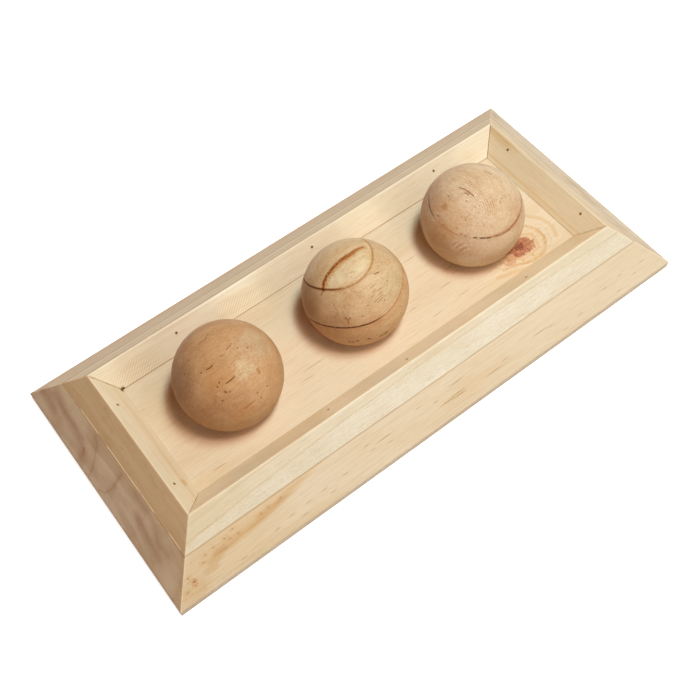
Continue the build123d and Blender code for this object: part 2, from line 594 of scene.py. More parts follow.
# ---- pine ----
def pine(name, tone, grain, seed):
    """Planed, unfinished pine before its rings: mottle, fibres, pores and resin dashes."""
    wood = Wood(name, tone, grain, seed)
    fibres, fine = wood.fibre(16, 0.55, 3.0), wood.fibre(5, 0.22, 2.0)
    for layer, start, end, colour, strength in (
        (wood.fibre(90, 22, 2.0), 0.35, 0.75, (0.93, 0.88, 0.80), 0.6),
        (wood.fibre(40, 9, 2.0, 0.6), 0.52, 0.78, (0.96, 0.89, 0.80), 0.7),
        (fibres, 0.45, 0.72, (0.90, 0.83, 0.73), 0.5),
        (fibres, 0.5, 0.3, (1.03, 1.04, 1.05), 0.6),
        (fine, 0.45, 0.7, (0.91, 0.85, 0.77), 0.55),
        (wood.fibre(38, 0.6, 1.0), 0.61, 0.72, (0.82, 0.71, 0.56), 0.35),
    ):
        wood.tint(layer.between(start, end), colour, strength)
    dashes = wood.flecks(5.0, 0.3, 0.5)
    wood.tint(dashes, (0.72, 0.55, 0.38), 0.55)
    wood.tint(wood.end, (0.89, 0.82, 0.75), 0.8)
    wood.lift((fibres - 0.5) * 0.012 + (fine - 0.5) * 0.01 - dashes * 0.03)
    return wood


# Places for marks are in millimetres from here on.
FLOOR_MM, LAND_MM = FLOOR_HEIGHT / MM, LAND_HEIGHT / MM
HALF_LENGTH, HALF_WIDTH = (half / MM for half in BOARD_HALF)
TOP_INSET = BEVEL_RUN / MM                      # a rail's outer foot, from the board's side
FOOT_INSET = (BEVEL_RUN + RAIL_BASE) / MM       # a rail's inner foot
SLOPE = math.sqrt(0.5)


def on_front(*spots):
    """Places on the front slope: a spot is (x, how far up the slope from the land)."""
    return [(x, up * SLOPE - HALF_WIDTH, up * SLOPE + LAND_MM) for x, up in spots]


def on_left(*spots):
    """Places on the left slope: a spot is (y, how far up the slope from the land)."""
    return [(up * SLOPE - HALF_LENGTH, y, up * SLOPE + LAND_MM) for y, up in spots]


def on_floor(*spots):
    """Places on the tray's floor."""
    return [(x, y, FLOOR_MM) for x, y in spots]


def front_rise(wood):
    """How far up the front slope a place lies, as in on_front."""
    return wood.place.dot((0, SLOPE, SLOPE)) + (HALF_WIDTH - LAND_MM) * SLOPE


def joint_line(wood, colour, strength, broken=0.0, width=0.34):
    """The hairline where a rail's foot meets the board, on faces that don't lie flat."""
    line = (wood.place.dot(UP) - FLOOR_MM).near(width, 0.3 * width)
    line = line * wood.facing.dot(UP).between(0.95, 0.8)
    if broken:
        line = line * wood.fibre(14, 40, 1.0).between(broken, broken + 0.12)
    wood.tint(line, colour, strength)


def board_rings(wood):
    """Growth rings: the pith runs along the board, a little above its underside."""
    radius = wood.radius((0, 28.0, 0.3), (1, 0.06, -0.02), 1.8)
    for at, line, fade, strength in (
        (12.5, 2.0, 4.0, 0.12), (25.0, 2.0, 5.0, 0.15), (46.0, 3.0, 8.0, 0.25),
        (61.0, 4.0, 12.0, 0.30), (80.0, 2.0, 6.0, 0.30),
    ):
        late = wood.ring(radius, at, line, fade)
        wood.tint(late * (wood.end * 1.1 + 0.05), (0.72, 0.60, 0.54), strength)
    wavy = wood.spot.vector("MULTIPLY", (0.03, 0.028, 0.16)).noise(1.0, 2.0, 0.5, 0.9)
    wood.tint(wavy.between(0.46, 0.64) * wood.end, (0.80, 0.69, 0.64), 0.8)
    wood.tint(wavy.between(0.44, 0.34) * wood.end, (1.07, 1.09, 1.08), 0.9)
    left_bands(wood)
    wood.tint(wood.place.dot(UP).between(11.0, 19.0) * wood.end, (0.97, 0.95, 0.88), 0.8)


def left_bands(wood):
    """The rings that show on the left slope, where the saw ran nearly along them."""
    broad = (
        ((53.4, 14.2), (47, 12.5), (39.4, 11.5), (32.1, 10.8), (26.2, 9.4), (22.2, 7), (20.4, 2.8)),
        ((62.3, 7.6), (57.2, 8.6), (49.7, 7.9)),
        ((-15.9, 17.4), (-24.3, 17.5), (-29.8, 17), (-35, 14.9), (-39.3, 11.9), (-46.8, 12.7)),
        ((-22.6, 11.7), (-30.3, 9.7), (-37.4, 8.4), (-44.7, 7.6)),
    )
    narrow = (
        ((20.9, 18.1), (17.5, 16.3), (14.9, 11.2), (12.2, 6.1), (11.6, 1.3)),
        ((-3.1, 18.1), (-2.8, 12.6), (-3.2, 9.1), (-1.5, 4.0), (2.6, 1.5)),
    )
    core = (((22.5, 8.4), (22.3, 7.2), (21.2, 6.6)),)
    edge = (((-24.6, 21.0), (-33.1, 20.7), (-43.2, 20.3), (-52.8, 19.5)),)
    for paths, width, colour, strength in (
        (broad, 4.6, (0.86, 0.79, 0.77), 0.75), (broad, 1.6, (0.90, 0.82, 0.79), 0.6),
        (narrow, 3.4, (0.95, 0.91, 0.89), 0.8), (narrow, 0.8, (0.82, 0.71, 0.67), 0.65),
        (edge, 1.2, (0.86, 0.78, 0.74), 0.7), (core, 1.0, (0.78, 0.60, 0.55), 0.7),
    ):
        wood.draw([on_left(*path) for path in paths], width, 0.45 * width, colour, strength)
    pale = on_left((6.8, 10.3), (1.5, 9.4), (10.7, 11.6), (-9.1, 7.5))
    wood.dab(pale, (7.0, 6.0), 0.3, (1.06, 1.08, 1.08), 0.8)


def orange_streak(wood):
    """The orange streak that runs out along the front bevel from its left corner."""
    run = wood.place.dot(ALONG)
    front = wood.place.dot((0, -1, 0)).between(50.0, 53.5)
    waver = (wood.fibre(18, 6, 2.0) - 0.5) * 1.6
    lower_edge = (run + 127.0).math("POWER", 2.0) * 0.0019 + 11.0
    over = front_rise(wood) - lower_edge + waver
    streak = over.between(-1.6, 1.4) * front * run.between(-50.0, -70.0)
    wood.tint(streak * run.between(-146.0, -122.0), (0.96, 0.89, 0.78), 0.8)
    deep = over.between(-1.4, 1.6) * over.between(5.2, 1.6) * front
    deep = deep * run.between(-127.0, -112.0) * run.between(-60.0, -88.0)
    grain_lines = wood.fibre(26, 0.9, 2.0).between(0.38, 0.62) * 0.6 + 0.4
    wood.tint(deep * grain_lines, (0.86, 0.68, 0.48), 0.8)
    specks = on_front(
        (-137, 11), (-140.5, 5.6), (-136, 6.2), (-128, 13), (-126, 15.5), (-121, 16),
        (-115, 16.5), (-110, 18), (-113, 15), (-109, 14.8), (-96, 16), (-92, 17), (-85, 17),
    )
    trail, eye = on_front((-119.5, 13.0), (-123.0, 10.8), (-126.5, 8.3)), on_front((-135.5, 8))
    for spots, reach, ragged, colour, strength in (
        (trail, (6.0, 2.4), 0.3, (0.88, 0.74, 0.58), 0.75),
        (on_front((-139, 4)), (13.0, 8.0), 0.5, (0.90, 0.80, 0.66), 0.8),
        (on_front((-85, 1.5)), (48.0, 3.4), 0.5, (0.94, 0.89, 0.80), 0.8),
        (on_front((-116, 9)), (40.0, 14.0), 0.4, (0.97, 0.93, 0.84), 0.9),
        (specks, (3.2, 1.6), 0.6, (0.95, 0.82, 0.68), 0.4),
        (specks, (0.85, 0.36), 0.8, (0.60, 0.38, 0.26), 0.7),
        (eye, (2.4, 2.0), 0.5, (0.90, 0.66, 0.50), 0.7),
        (eye, (0.9, 0.7), 0.5, (0.46, 0.20, 0.12), 0.85),
    ):
        wood.dab(spots, reach, ragged, colour, strength)
    cluster = wood.marks(on_front((-136, 8), (-127.5, 14), (-117, 16)), (9.0, 4.0))
    wood.tint(cluster * wood.flecks(0.8, 0.45, 0.8, 0.5), (0.60, 0.34, 0.22), 0.75)
    scattered = wood.marks(on_front((-131, 10), (-122, 14), (-108, 16)), (16.0, 7.0))
    wood.tint(scattered * wood.flecks(0.7, 0.5, 0.5, 0.3, 9.0), (0.72, 0.48, 0.36), 0.6)


def resin_dashes(wood):
    """The longer brown dashes of the front bevel and the floor, and the clusters round them."""
    dashes = on_front(
        (-112, 3.5), (-93, 5.5), (-85, 7), (-79, 3.5), (-75, 7.5), (-66, 8), (-63, 4.5),
        (-54, 8.2), (-39, 13.6), (-37, 10), (-28, 8.2), (-9, 14), (0.5, 11.3), (42, 8.6),
        (71, 9), (78, 3), (89, 5), (107, 8.6), (118, 9.7), (133, 9), (126, 6), (114, 3.2),
    )
    wood.dab(dashes, (2.6, 0.28), 0.35, (0.50, 0.34, 0.20), 0.6)
    cluster = wood.marks(dashes, (6.0, 1.6), 0.2)
    wood.tint(cluster * wood.flecks(2.2, 0.22, 0.9, 0.4), (0.62, 0.46, 0.32), 0.55)
    long_dashes = on_front(
        (-30, 11.6), (6, 8.0), (13, 7.4), (12.5, 8.7), (14.5, 13.6), (34, 6.9), (65, 9.7)
    )
    wood.dab(long_dashes, (6.5, 0.30), 0.3, (0.48, 0.30, 0.12), 0.7)
    wood.dab(on_front((9, 8)), (11.0, 1.3), 0.3, (0.94, 0.84, 0.62), 0.5)
    floor_dashes = on_floor(
        (-98.5, -28), (-41, -16), (-36, -11.8), (-31, -11.8), (39, 7.5), (43.5, -15.5),
        (22, -16.6), (29.5, -26), (47, -24.5), (51, -8.5), (53, -12.5),
    )
    wood.dab(floor_dashes, (5.0, 0.26), 0.35, (0.52, 0.36, 0.22), 0.65)
    cluster = wood.marks(floor_dashes + on_floor((-105, -6), (-106, 24)), (7.0, 2.2))
    wood.tint(cluster * wood.flecks(2.0, 0.22, 0.9, 0.4, 5.0), (0.66, 0.46, 0.34), 0.5)


def board_material():
    """The board's pine: rings, streaks, dashes and the knot, and painted light and shade on its
    sides and land.
    """
    wood = pine("board_pine_wood", (0.745, 0.590, 0.405), ALONG, 1)
    board_rings(wood)
    orange_streak(wood)
    resin_dashes(wood)
    wood.dab(on_floor((-104, -30)), (16.0, 6.0), 0.5, (0.96, 0.89, 0.76), 0.8)
    wood.dab(on_floor((60, -36), (100, -38)), (34.0, 12.0), 0.3, (0.97, 0.93, 0.84), 0.8)
    wood.dab(on_floor((-103, 8)), (13.0, 26.0), 0.3, (0.98, 0.95, 0.86), 0.8)
    knot(wood, (87.0, -21.0))
    joint_line(wood, (0.55, 0.38, 0.22), 0.55)
    # Painted shade: the upright land under the bevel, darker and greyer.
    rim = wood.facing.dot(UP).near(0.3, 0.1) * wood.place.dot(UP).between(5.2, 4.6)
    wood.tint(rim, (0.82, 0.82, 0.85), 0.9)
    # Painted light and shade: each side is tinted by the way it faces.
    for way, start, end, colour in (
        ((-0.7, -0.7, 0.0), 0.2, 0.45, (0.945, 0.955, 0.97)),
        ((1.0, 0.0, 0.0), 0.2, 0.6, (0.99, 1.0, 1.08)),
        ((0.0, 1.0, 0.0), 0.2, 0.6, (0.99, 0.965, 0.955)),
    ):
        wood.tint(wood.facing.dot(way).between(start, end), colour)
    # Painted highlights on the board's mitred corners.
    wood.painted_corner_highlights()
    return wood.finish(0.62)


def knot(wood, centre):
    """A red-brown knot: cracked core, ragged rim and the grain that flows round it."""
    away = wood.place.vector("SUBTRACT", (*centre, FLOOR_MM))
    flat = away.vector("MULTIPLY", (0.66, 1.0, 0.0))
    warp = (wood.spot.noise(0.30, 3.0, 0.6) - 0.5) * 7.0
    reach = flat.vector("LENGTH") + warp
    body = reach.between(5.8, 4.4)
    core = reach.between(2.6, 1.0)
    turn = flat.dot((0, 1, 0)).math("ARCTAN2", flat.dot(ALONG))
    spread = add_node(wood.tree, "CombineXYZ", {0: turn * 3.2, 1: reach * 0.25})
    cracks = spread.noise(2.2, 3.0, 0.65).between(0.46, 0.60)
    grit = wood.spot.noise(1.6, 3.0, 0.65)
    halo = (reach * 0.42).math("FRACT").between(0.5, 0.95) * reach.between(16.0, 7.0)
    halo = halo * reach.between(4.5, 7.0)
    wood.tint(halo, (0.88, 0.70, 0.48), 0.75)
    wood.tint(reach.between(11.0, 5.0), (0.95, 0.80, 0.64), 0.8)
    wood.tint(body, (0.76, 0.45, 0.35), 0.85)
    wood.tint(body * grit.between(0.44, 0.62), (0.70, 0.46, 0.38), 0.75)
    wood.tint(body * grit.between(0.44, 0.34), (1.12, 1.06, 1.04), 0.7)
    wood.tint(body * cracks, (0.54, 0.26, 0.19), 0.8)
    wood.tint(core, (0.55, 0.30, 0.22), 0.8)
    pits = wood.flecks(1.0, 0.8, 0.8, 0.4, 3.0)
    wood.tint(body * pits, (0.34, 0.14, 0.10), 0.9)
    wood.dab(on_floor((80.0, -24.0), (77.0, -25.5)), (5.0, 2.6), 0.5, (0.78, 0.50, 0.38), 0.7)
    swirl = on_floor(
        (71.0, -26.5), (78.8, -28.6), (86.5, -31.6), (93.0, -31.0), (97.5, -28.5),
        (100.5, -24.0), (101.2, -18.0), (98.0, -13.0),
    )
    wood.draw([swirl], 1.1, 0.35, (0.88, 0.70, 0.48), 0.75)
    outer = on_floor((66.0, -28.5), (76.0, -31.2), (84.0, -34.5))
    right = on_floor((106.0, -27.0), (108.5, -21.0), (107.0, -14.0), (102.0, -8.0))
    wood.draw([outer, right], 1.6, 0.6, (0.92, 0.76, 0.56), 0.6)
    wood.lift(body * (cracks + grit) * -0.06)


def chatter(wood, direction, period, amount, patch):
    """Fine parallel ripples left by a blade, where patch is 1."""
    wave = (wood.place.dot(direction) * (2 * math.pi / period)).math("SINE")
    wood.tint((wave * 0.5 + 0.5) * patch, (0.87, 0.80, 0.70), amount)
    wood.lift(wave * patch * 0.015)


def rail_height(wood, way, half_size, waver):
    """How far up a rail's inner face a place lies, with the waver of the grain."""
    depth = wood.place.dot((way[0] * SLOPE, way[1] * SLOPE, SLOPE))
    depth = depth - (FLOOR_MM + half_size - FOOT_INSET) * SLOPE
    return depth + (wood.fibre(60, 9, 1.5) - 0.5) * (2 * waver)


def finish_rail(wood, side, chipped=False):
    """What all rails share: brad holes with painted shade, and painted highlights on the ridge and
    corners.
    """
    # Painted shade in the brad holes.
    wood.blacken([entry / MM for entry in brad_entries(side)], (0.80, 0.80))
    if chipped:
        # The chip's hollow gets painted shade too.
        wood.blacken([CHIP / MM], (1.5, 1.5), 0.2)
    top = (FLOOR_HEIGHT + RAIL_HEIGHT) / MM
    # Painted highlight along the ridge.
    wood.tint(wood.place.dot(UP).between(top - 0.75, top - 0.35), (1.10, 1.12, 1.15), 0.9)
    # Painted highlights on the rails' mitred corners.
    wood.painted_corner_highlights()
    return wood.finish(0.6)


def front_rail_material():
    """The front rail: rings along its outer face, pale above them, and painted light on its inner
    face.
    """
    wood = pine("front_rail_wood", (0.740, 0.651, 0.512), ALONG, 2)
    run, rise = wood.place.dot(ALONG), front_rise(wood)
    bow = (run - 30.0).math("POWER", 2.0) * 0.00025
    depth = rise + bow + (wood.fibre(60, 8, 1.5) - 0.5) * 0.9
    # The bark side is downhill here, so each ring is sharp below and fades uphill.
    for at, fade, strength in ((30.9, 1.3, 0.55), (33.4, 0.8, 0.25), (36.6, 3.0, 0.35)):
        late = depth - at
        late = late.between(-0.25, 0.05) * late.between(fade, 0.0).math("POWER", 1.6)
        wood.tint(late, (0.86, 0.73, 0.55), strength)
    wood.tint(depth.between(30.7, 31.6), (0.975, 0.94, 0.87), 0.8)
    wood.tint(run.between(-80.0, -115.0) * wood.outward(), (0.98, 0.96, 0.90), 0.9)
    # Painted light: the inner face made lighter and warmer.
    inner = wood.place.dot((0, SLOPE, SLOPE)).between(-14.0, -12.0)
    wood.tint(inner * wood.outward().between(0.5, 0.0), (1.23, 1.12, 1.00), 0.8)
    grit = wood.fibre(1.5, 0.55, 2.0)
    pale = rise.between(20.0, 21.0) * depth.between(34.5, 31.0)
    wood.tint(grit.between(0.48, 0.66) * pale, (0.91, 0.86, 0.77), 0.7)
    wood.tint(grit.between(0.48, 0.34) * pale, (1.03, 1.04, 1.05), 0.8)
    wood.lift(grit * pale * 0.02)
    spots = on_front(
        (-62, 33), (-39, 33.5), (-26, 33.5), (-4, 34.3), (-2, 32.8), (-36, 23), (3, 23),
        (18, 22.8), (25, 23), (27, 25.2), (60, 22.2), (80, 22.6),
    )
    wood.dab(spots, (4.0, 0.24), 0.4, (0.62, 0.48, 0.32), 0.45)
    cluster = wood.marks(spots, (8.0, 1.6), 0.2)
    wood.tint(cluster * wood.flecks(2.2, 0.2, 0.9, 0.4), (0.74, 0.60, 0.44), 0.4)
    patches = wood.spot.noise(0.05, 1.0).between(0.45, 0.60)
    chatter(wood, (0.9, 0.31, 0.31), 0.95, 0.35, patches)
    joint_line(wood, (0.52, 0.35, 0.20), 0.75, 0.40)
    return finish_rail(wood, "front")


def back_rail_material():
    """The back rail: saw ripples inside, and rings and painted shade outside."""
    wood = pine("back_rail_wood", (0.804, 0.672, 0.488), ALONG, 3)
    height = rail_height(wood, (0, 1), HALF_WIDTH, 0.5)
    run = wood.place.dot(ALONG)
    late = wood.ring(height + run * 0.018, 12.3, 0.2, 0.7) * run.between(10.0, -20.0)
    wood.tint(late, (0.80, 0.74, 0.66), 0.45)
    outside = wood.outward()
    # Painted shade: the outer face a little warmer and darker.
    wood.tint(outside, (1.0, 0.98, 0.92), 0.9)
    rise = wood.place.dot(UP) + (wood.fibre(80, 6, 1.0) - 0.5) * 0.8
    wood.tint(wood.ring(rise, 28.2, 0.3, 2.6) * outside, (0.70, 0.58, 0.50), 0.8)
    wood.tint(wood.ring(rise, 24.0, 0.3, 1.5) * outside, (0.80, 0.70, 0.64), 0.8)
    patch = (run + 103.0).near(20.0, 6.0).math("MAXIMUM", (run + 40.0).near(28.0, 10.0))
    patch = patch * height.between(12.5, 9.0) * (1.0 - outside)
    chatter(wood, RIPPLE_WAY, RIPPLE_PERIOD / MM, 1.0, patch)
    pale = (run + 118.0).near(12.0, 4.0).math("MAXIMUM", (run + 46.0).near(24.0, 12.0))
    wood.tint(pale * (1.0 - outside), (1.03, 1.06, 1.09), 0.8)
    joint_line(wood, (0.50, 0.30, 0.13), 0.95, width=0.55)
    return finish_rail(wood, "back", chipped=True)


def left_rail_material():
    """The left rail: a smudged outer face made warm and dark with painted shade, and painted
    highlights along its foot.
    """
    wood = pine("left_rail_wood", (0.718, 0.575, 0.392), (0, 1, 0), 4)
    height = rail_height(wood, (-1, 0), HALF_LENGTH, 0.5)
    outside = wood.outward()
    wood.tint((height - 4.6).near(2.2, 0.2) * (1.0 - outside), (0.93, 0.83, 0.68), 0.6)
    # Painted shade: the outer face darker and warmer.
    wood.tint(outside, (0.96, 0.84, 0.68), 0.95)
    up_slope = 3.2
    smear = (FOOT_INSET - HALF_LENGTH - up_slope, -26.0, FLOOR_MM + up_slope)
    wood.dab([smear], (3.0, 1.6), 0.4, (0.86, 0.68, 0.40), 0.7)
    wood.tint(wood.fibre(110, 4.5, 2.0).between(0.40, 0.65) * outside, (0.90, 0.85, 0.78), 0.6)
    # Painted highlights for the light that the foot catches where it stands a hair proud of the
    # board.
    runs = ((36, 20), (12, -4), (-5, -16), (-18, -28.5), (-41, -50))
    slivers = [[(TOP_INSET - HALF_LENGTH, y, FLOOR_MM + 0.1) for y in run] for run in runs]
    wood.draw(slivers, 0.55, 0.1, (2.3, 3.0, 3.8), 0.95)
    smudge = wood.fibre(9, 2.6, 3.0, 0.8).between(0.55, 0.72) * outside
    wood.tint(smudge, (0.86, 0.80, 0.74), 0.7)
    return finish_rail(wood, "left", chipped=True)


def right_rail_material():
    """The right rail: one soft ring inside, and short strokes and painted shade outside."""
    wood = pine("right_rail_wood", (0.760, 0.613, 0.405), (0, 1, 0), 5)
    height = rail_height(wood, (1, 0), HALF_LENGTH, 0.4)
    outside = wood.outward()
    inside = 1.0 - outside
    wood.tint(wood.ring(height, 3.0, 0.6, 2.0) * inside, (0.93, 0.80, 0.62), 0.6)
    corner = wood.marks([(HALF_LENGTH - TOP_INSET - 12.0, 32.0, 28.0)], (16.0, 3.6), 0.4)
    wood.tint(corner * inside, (0.92, 0.80, 0.62), 0.7)
    strokes = wood.fibre(34, 1.8, 2.0, 0.6).between(0.50, 0.62) * outside
    wood.tint(strokes, (0.81, 0.69, 0.60), 0.8)
    # Painted shade: the outer face darker.
    wood.tint(outside, (0.94, 0.88, 0.88), 0.95)
    joint_line(wood, (0.48, 0.32, 0.18), 0.9)
    return finish_rail(wood, "right")


# ---- balls' wood ----
def ball_surface(node):
    """A ball's centre, and a function that turns angles in degrees into places on it."""
    low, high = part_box(node)
    centre, radius = (low + high) / (2 * MM), (high.z - low.z) / (2 * MM)

    def on_ball(*angles):
        places = []
        for azimuth, elevation in angles:
            a, e = math.radians(azimuth), math.radians(elevation)
            way = Vector((math.cos(a) * math.cos(e), math.sin(a) * math.cos(e), math.sin(e)))
            places.append(centre + radius * way)
        return places

    return centre, on_ball


def turned_wood(name, tone, grain, seed):
    """Close-grained, sanded wood: soft clouding, streaks, fine pores, darker end grain."""
    wood = Wood(name, tone, grain, seed)
    streaks, fine = wood.fibre(16, 0.9, 3.0), wood.fibre(2.6, 0.34, 3.0, 0.4)
    for layer, start, end, colour in (
        (wood.fibre(26, 9, 3.0, 0.8), 0.40, 0.66, (0.88, 0.78, 0.68)),
        (streaks, 0.42, 0.70, (0.86, 0.77, 0.68)),
        (fine, 0.42, 0.70, (0.80, 0.70, 0.60)),
    ):
        wood.tint(layer.between(start, end), colour, 0.6)
    speckle = wood.spot.noise(1.5, 3.0, 0.65)
    patchy = wood.spot.noise(0.11, 1.0).between(0.40, 0.60)
    wood.tint(speckle.between(0.50, 0.66) * patchy, (0.76, 0.65, 0.56), 0.7)
    wood.tint(speckle.between(0.46, 0.32) * patchy, (1.08, 1.11, 1.14), 0.7)
    broad = wood.spot.noise(0.16, 3.0, 0.6, 0.8)
    wood.tint(broad.between(0.46, 0.62), (0.92, 0.85, 0.79), 0.5)
    wood.tint(wood.end.math("POWER", 2.0), (0.90, 0.82, 0.74), 0.5)
    pores = wood.flecks(0.7, 0.38, 0.5, 0.24)
    wood.tint(pores, (0.50, 0.32, 0.21), 0.75)
    wood.lift((streaks - 0.5) * 0.012 + (fine - 0.5) * 0.014 - pores * 0.05)
    return wood


def shifted(path, *shift):
    """A path moved by a fixed step."""
    return [spot + Vector(shift) for spot in path]


def finish_ball(wood, on_ball, zones):
    """Broad soft zones, as (azimuth, elevation, reach, colour), and the sanded finish."""
    # Some zones are painted shade on a ball's left limb, or painted light on its lit side or
    # underside.
    for azimuth, elevation, reach, colour in zones:
        wood.dab(on_ball((azimuth, elevation)), (reach, reach * 0.8), 0.0, colour)
    return wood.finish(0.55, 0.06, 0.26)


def ragged_line(wood, distance, colour, share=None, width=0.3, soft=1.5):
    """A broken dark line where distance is 0, with a soft border; share says how strong."""
    uneven = wood.spot.noise(0.7, 3.0, 0.6)
    core = distance.near(width, width * 0.3) * uneven.between(0.30, 0.52)
    border = distance.between(width, 0.0) * distance.between(-soft, 0.0)
    mask = core * 0.9 + border * 0.3
    if share is not None:
        mask = mask * share
    wood.tint(mask, colour)
    wood.lift(mask * -0.02)


def left_ball_material(node):
    """The brown ball: cloudy, with short cracks, dots and a pale patch near its top, partly a
    painted highlight.
    """
    _, on_ball = ball_surface(node)
    wood = turned_wood("left_ball_wood", (0.580, 0.343, 0.167), (0.96, -0.05, 0.2), 6)
    # A pale patch: partly the wood's own colour, partly a painted highlight.
    pale = on_ball((-78, 61), (-86, 55), (-72, 55))
    wood.dab(pale, (5.0, 4.4), 0.5, (1.10, 1.36, 1.62), 0.9)
    freckles = wood.marks(on_ball((-76, 54), (-68, 52), (-84, 62)), (6.0, 5.0), 0.3)
    wood.tint(freckles * wood.flecks(1.0, 0.4, 0.7, 0.4, 4.0), (0.46, 0.32, 0.22), 0.75)
    dashes = [
        on_ball((-157, 63), (-151, 66), (-147, 69)),
        on_ball((-117, 52), (-109, 54), (-101, 56)),
    ]
    wood.draw(dashes, 0.42, 0.12, (0.26, 0.14, 0.09), 0.9)
    faint = [
        on_ball((-103, 20), (-97, 22), (-90, 23.5)),
        on_ball((130, 66), (110, 70), (92, 68)),
        on_ball((-123, 79), (-102, 80)),
        on_ball((-66, 83), (-36, 81), (-18, 79)),
    ]
    wood.draw(faint, 0.36, 0.2, (0.46, 0.30, 0.20), 0.75)
    dots = on_ball(
        (-164, 58), (159, 55), (-128, 53), (-119, 43), (-114, 43), (-121, 44),
        (-131, 49), (-69, 26), (-82, 21), (-83, 29), (-34, 63), (-40, 73), (172, 43), (-125, 35),
    )
    wood.dab(dots, (0.8, 0.5), 0.5, (0.36, 0.20, 0.13), 0.85)
    wood.dab(on_ball((-65, 43), (-64, 46)), (1.3, 1.0), 0.5, (0.64, 0.44, 0.34), 0.7)
    wood.dab(on_ball((-27, 20)), (1.6, 0.5), 0.3, (0.22, 0.14, 0.10), 0.85)
    return finish_ball(wood, on_ball, (
        (-124, 63, 14.0, (1.0, 0.95, 0.86)),
        # Painted shade: the left limb darker.
        (172, 34, 14.0, (0.80, 0.78, 0.78)),
        (-106, 16, 9.0, (0.95, 0.86, 0.74)),
        (-112, 30, 11.0, (0.95, 0.93, 0.92)),
        # Painted light: the lit right side paler and cooler.
        (-20, 52, 14.0, (0.99, 1.14, 1.34)),
        (-140, 28, 9.0, (0.92, 0.88, 0.84)),
        (-98, 73, 8.0, (0.94, 0.93, 0.88)),
    ))


def middle_ball_material(node):
    """The ball with two bold rings, a pale eye and a resin streak between them."""
    centre, on_ball = ball_surface(node)
    wood = turned_wood("middle_ball_wood", (0.655, 0.458, 0.260), (1, 0, -0.05), 7)
    radius = wood.radius(centre + Vector((6.3, -21.1, -34.6)), (-0.988, -0.058, -0.144), 0.25)
    turned_left = wood.facing.dot((-0.90, -0.30, -0.25)).between(0.15, 0.50)
    upper, lower = radius - 60.0, radius - 44.8
    wood.tint(lower.between(0.3, -0.2), (1.0, 0.90, 0.80), 0.9)
    wood.tint(upper.between(-0.2, 0.6), (1.08, 1.15, 1.19), 0.9)
    ragged_line(wood, upper, (0.74, 0.56, 0.32), None, 0.42, 1.0)
    ragged_line(wood, upper, (0.36, 0.22, 0.13), turned_left, 0.42, 0.9)
    ragged_line(wood, lower, (0.76, 0.52, 0.34), None, 0.42, 1.4)
    ragged_line(wood, lower, (0.20, 0.10, 0.06), turned_left, 0.55, 1.2)
    # A resin streak that crosses the top inside the upper ring.
    path = on_ball(
        (-179, 45.5), (173, 51), (167, 58), (160, 65), (146, 73), (120, 79), (70, 80), (36, 72),
        (26, 67),
    )
    strands = wood.fibre(5, 0.5, 2.0).between(0.34, 0.56)
    wood.tint(wood.strokes([path], 1.25, 0.45) * (strands * 0.6 + 0.4), (0.80, 0.54, 0.28), 0.9)
    below = wood.strokes([shifted(path[1:7], 0.35, -0.85, 0)], 2.3, 1.2)
    wood.tint(below * (strands * 0.8 + 0.2), (0.78, 0.50, 0.27), 0.9)
    wood.draw([path], 0.62, 0.35, (0.70, 0.46, 0.24), 0.85)
    wood.tint(wood.strokes([path[:5]], 1.1, 0.5) * strands, (0.66, 0.42, 0.19), 0.9)
    wood.draw([shifted(path[1:8], 0, 0.75, 0)], 0.30, 0.15, (0.46, 0.28, 0.14), 0.75)
    wood.draw([shifted(path[5:], 0.2, -0.4, 0)], 1.7, 0.9, (0.88, 0.72, 0.52), 0.8)
    eye = wood.marks(on_ball((-130, 80), (-40, 80), (-175, 62)), (9.0, 8.0), 0.1)
    wood.tint(eye * upper.between(0.4, 1.6), (1.08, 1.20, 1.30), 0.9)
    # Its drips at the left, and the small fork above the lower ring.
    drips = [
        on_ball((-179, 43.5), (-178, 39.5)),
        on_ball((-138, 28.5), (-135, 25.5), (-134, 21.5)),
        on_ball((-132, 28.5), (-135, 25.5)),
    ]
    wood.draw(drips, 0.42, 0.2, (0.40, 0.24, 0.14), 0.8)
    ticks = on_ball(
        (-152, 36), (-146, 39), (-140, 39), (-149, 35), (-155, 39), (-135, 43),
        (-147, 30), (-140, 32), (-135, 34), (-150, 26), (-143, 24), (-139, 27), (-129, 33),
    )
    wood.dab(ticks, (0.35, 1.1), 0.5, (0.68, 0.52, 0.40), 0.5)
    dashes = [
        on_ball((-95, 56), (-87, 57)),
        on_ball((-96, 51), (-90, 52)),
        on_ball((-95, 39), (-86, 40.5)),
        on_ball((-90, 45), (-81, 46.5)),
        on_ball((-101, 47), (-95, 48)),
        on_ball((-99, 41), (-93, 42)),
        on_ball((-86, 49), (-79, 50)),
        on_ball((-91, 42.5), (-84, 43.5)),
    ]
    wood.draw(dashes, 0.30, 0.15, (0.52, 0.36, 0.24), 0.75)
    dots = on_ball((-85, 37), (-109, 40), (-118, 30), (-69, 16), (-63, 49))
    wood.dab(dots, (0.8, 0.45), 0.5, (0.42, 0.26, 0.15), 0.8)
    fleck = on_ball((-70, 64.5), (-65, 63.5), (-59, 61.5))
    wood.draw([fleck], 0.5, 0.25, (0.36, 0.22, 0.12), 0.85)
    pits = on_ball(
        (-134, -10), (-130, -10), (-125, -7), (-113, -6), (-99, -9), (-94, -9), (-92, -7)
    )
    wood.dab(pits, (1.6, 0.8), 0.4, (0.16, 0.08, 0.06), 0.9)
    return finish_ball(wood, on_ball, (
        # Painted shade: the left limb darker.
        (168, 20, 15.0, (0.76, 0.71, 0.66)),
        (-128, 20, 9.0, (0.95, 0.85, 0.76)),
        (-106, 22, 7.0, (0.95, 0.84, 0.74)),
        (-146, 20, 9.0, (0.90, 0.86, 0.84)),
        (-60, 40, 12.0, (0.93, 0.95, 0.93)),
        # Painted light: the underside lighter.
        (-80, -12, 12.0, (1.08, 1.10, 1.08)),
    ))


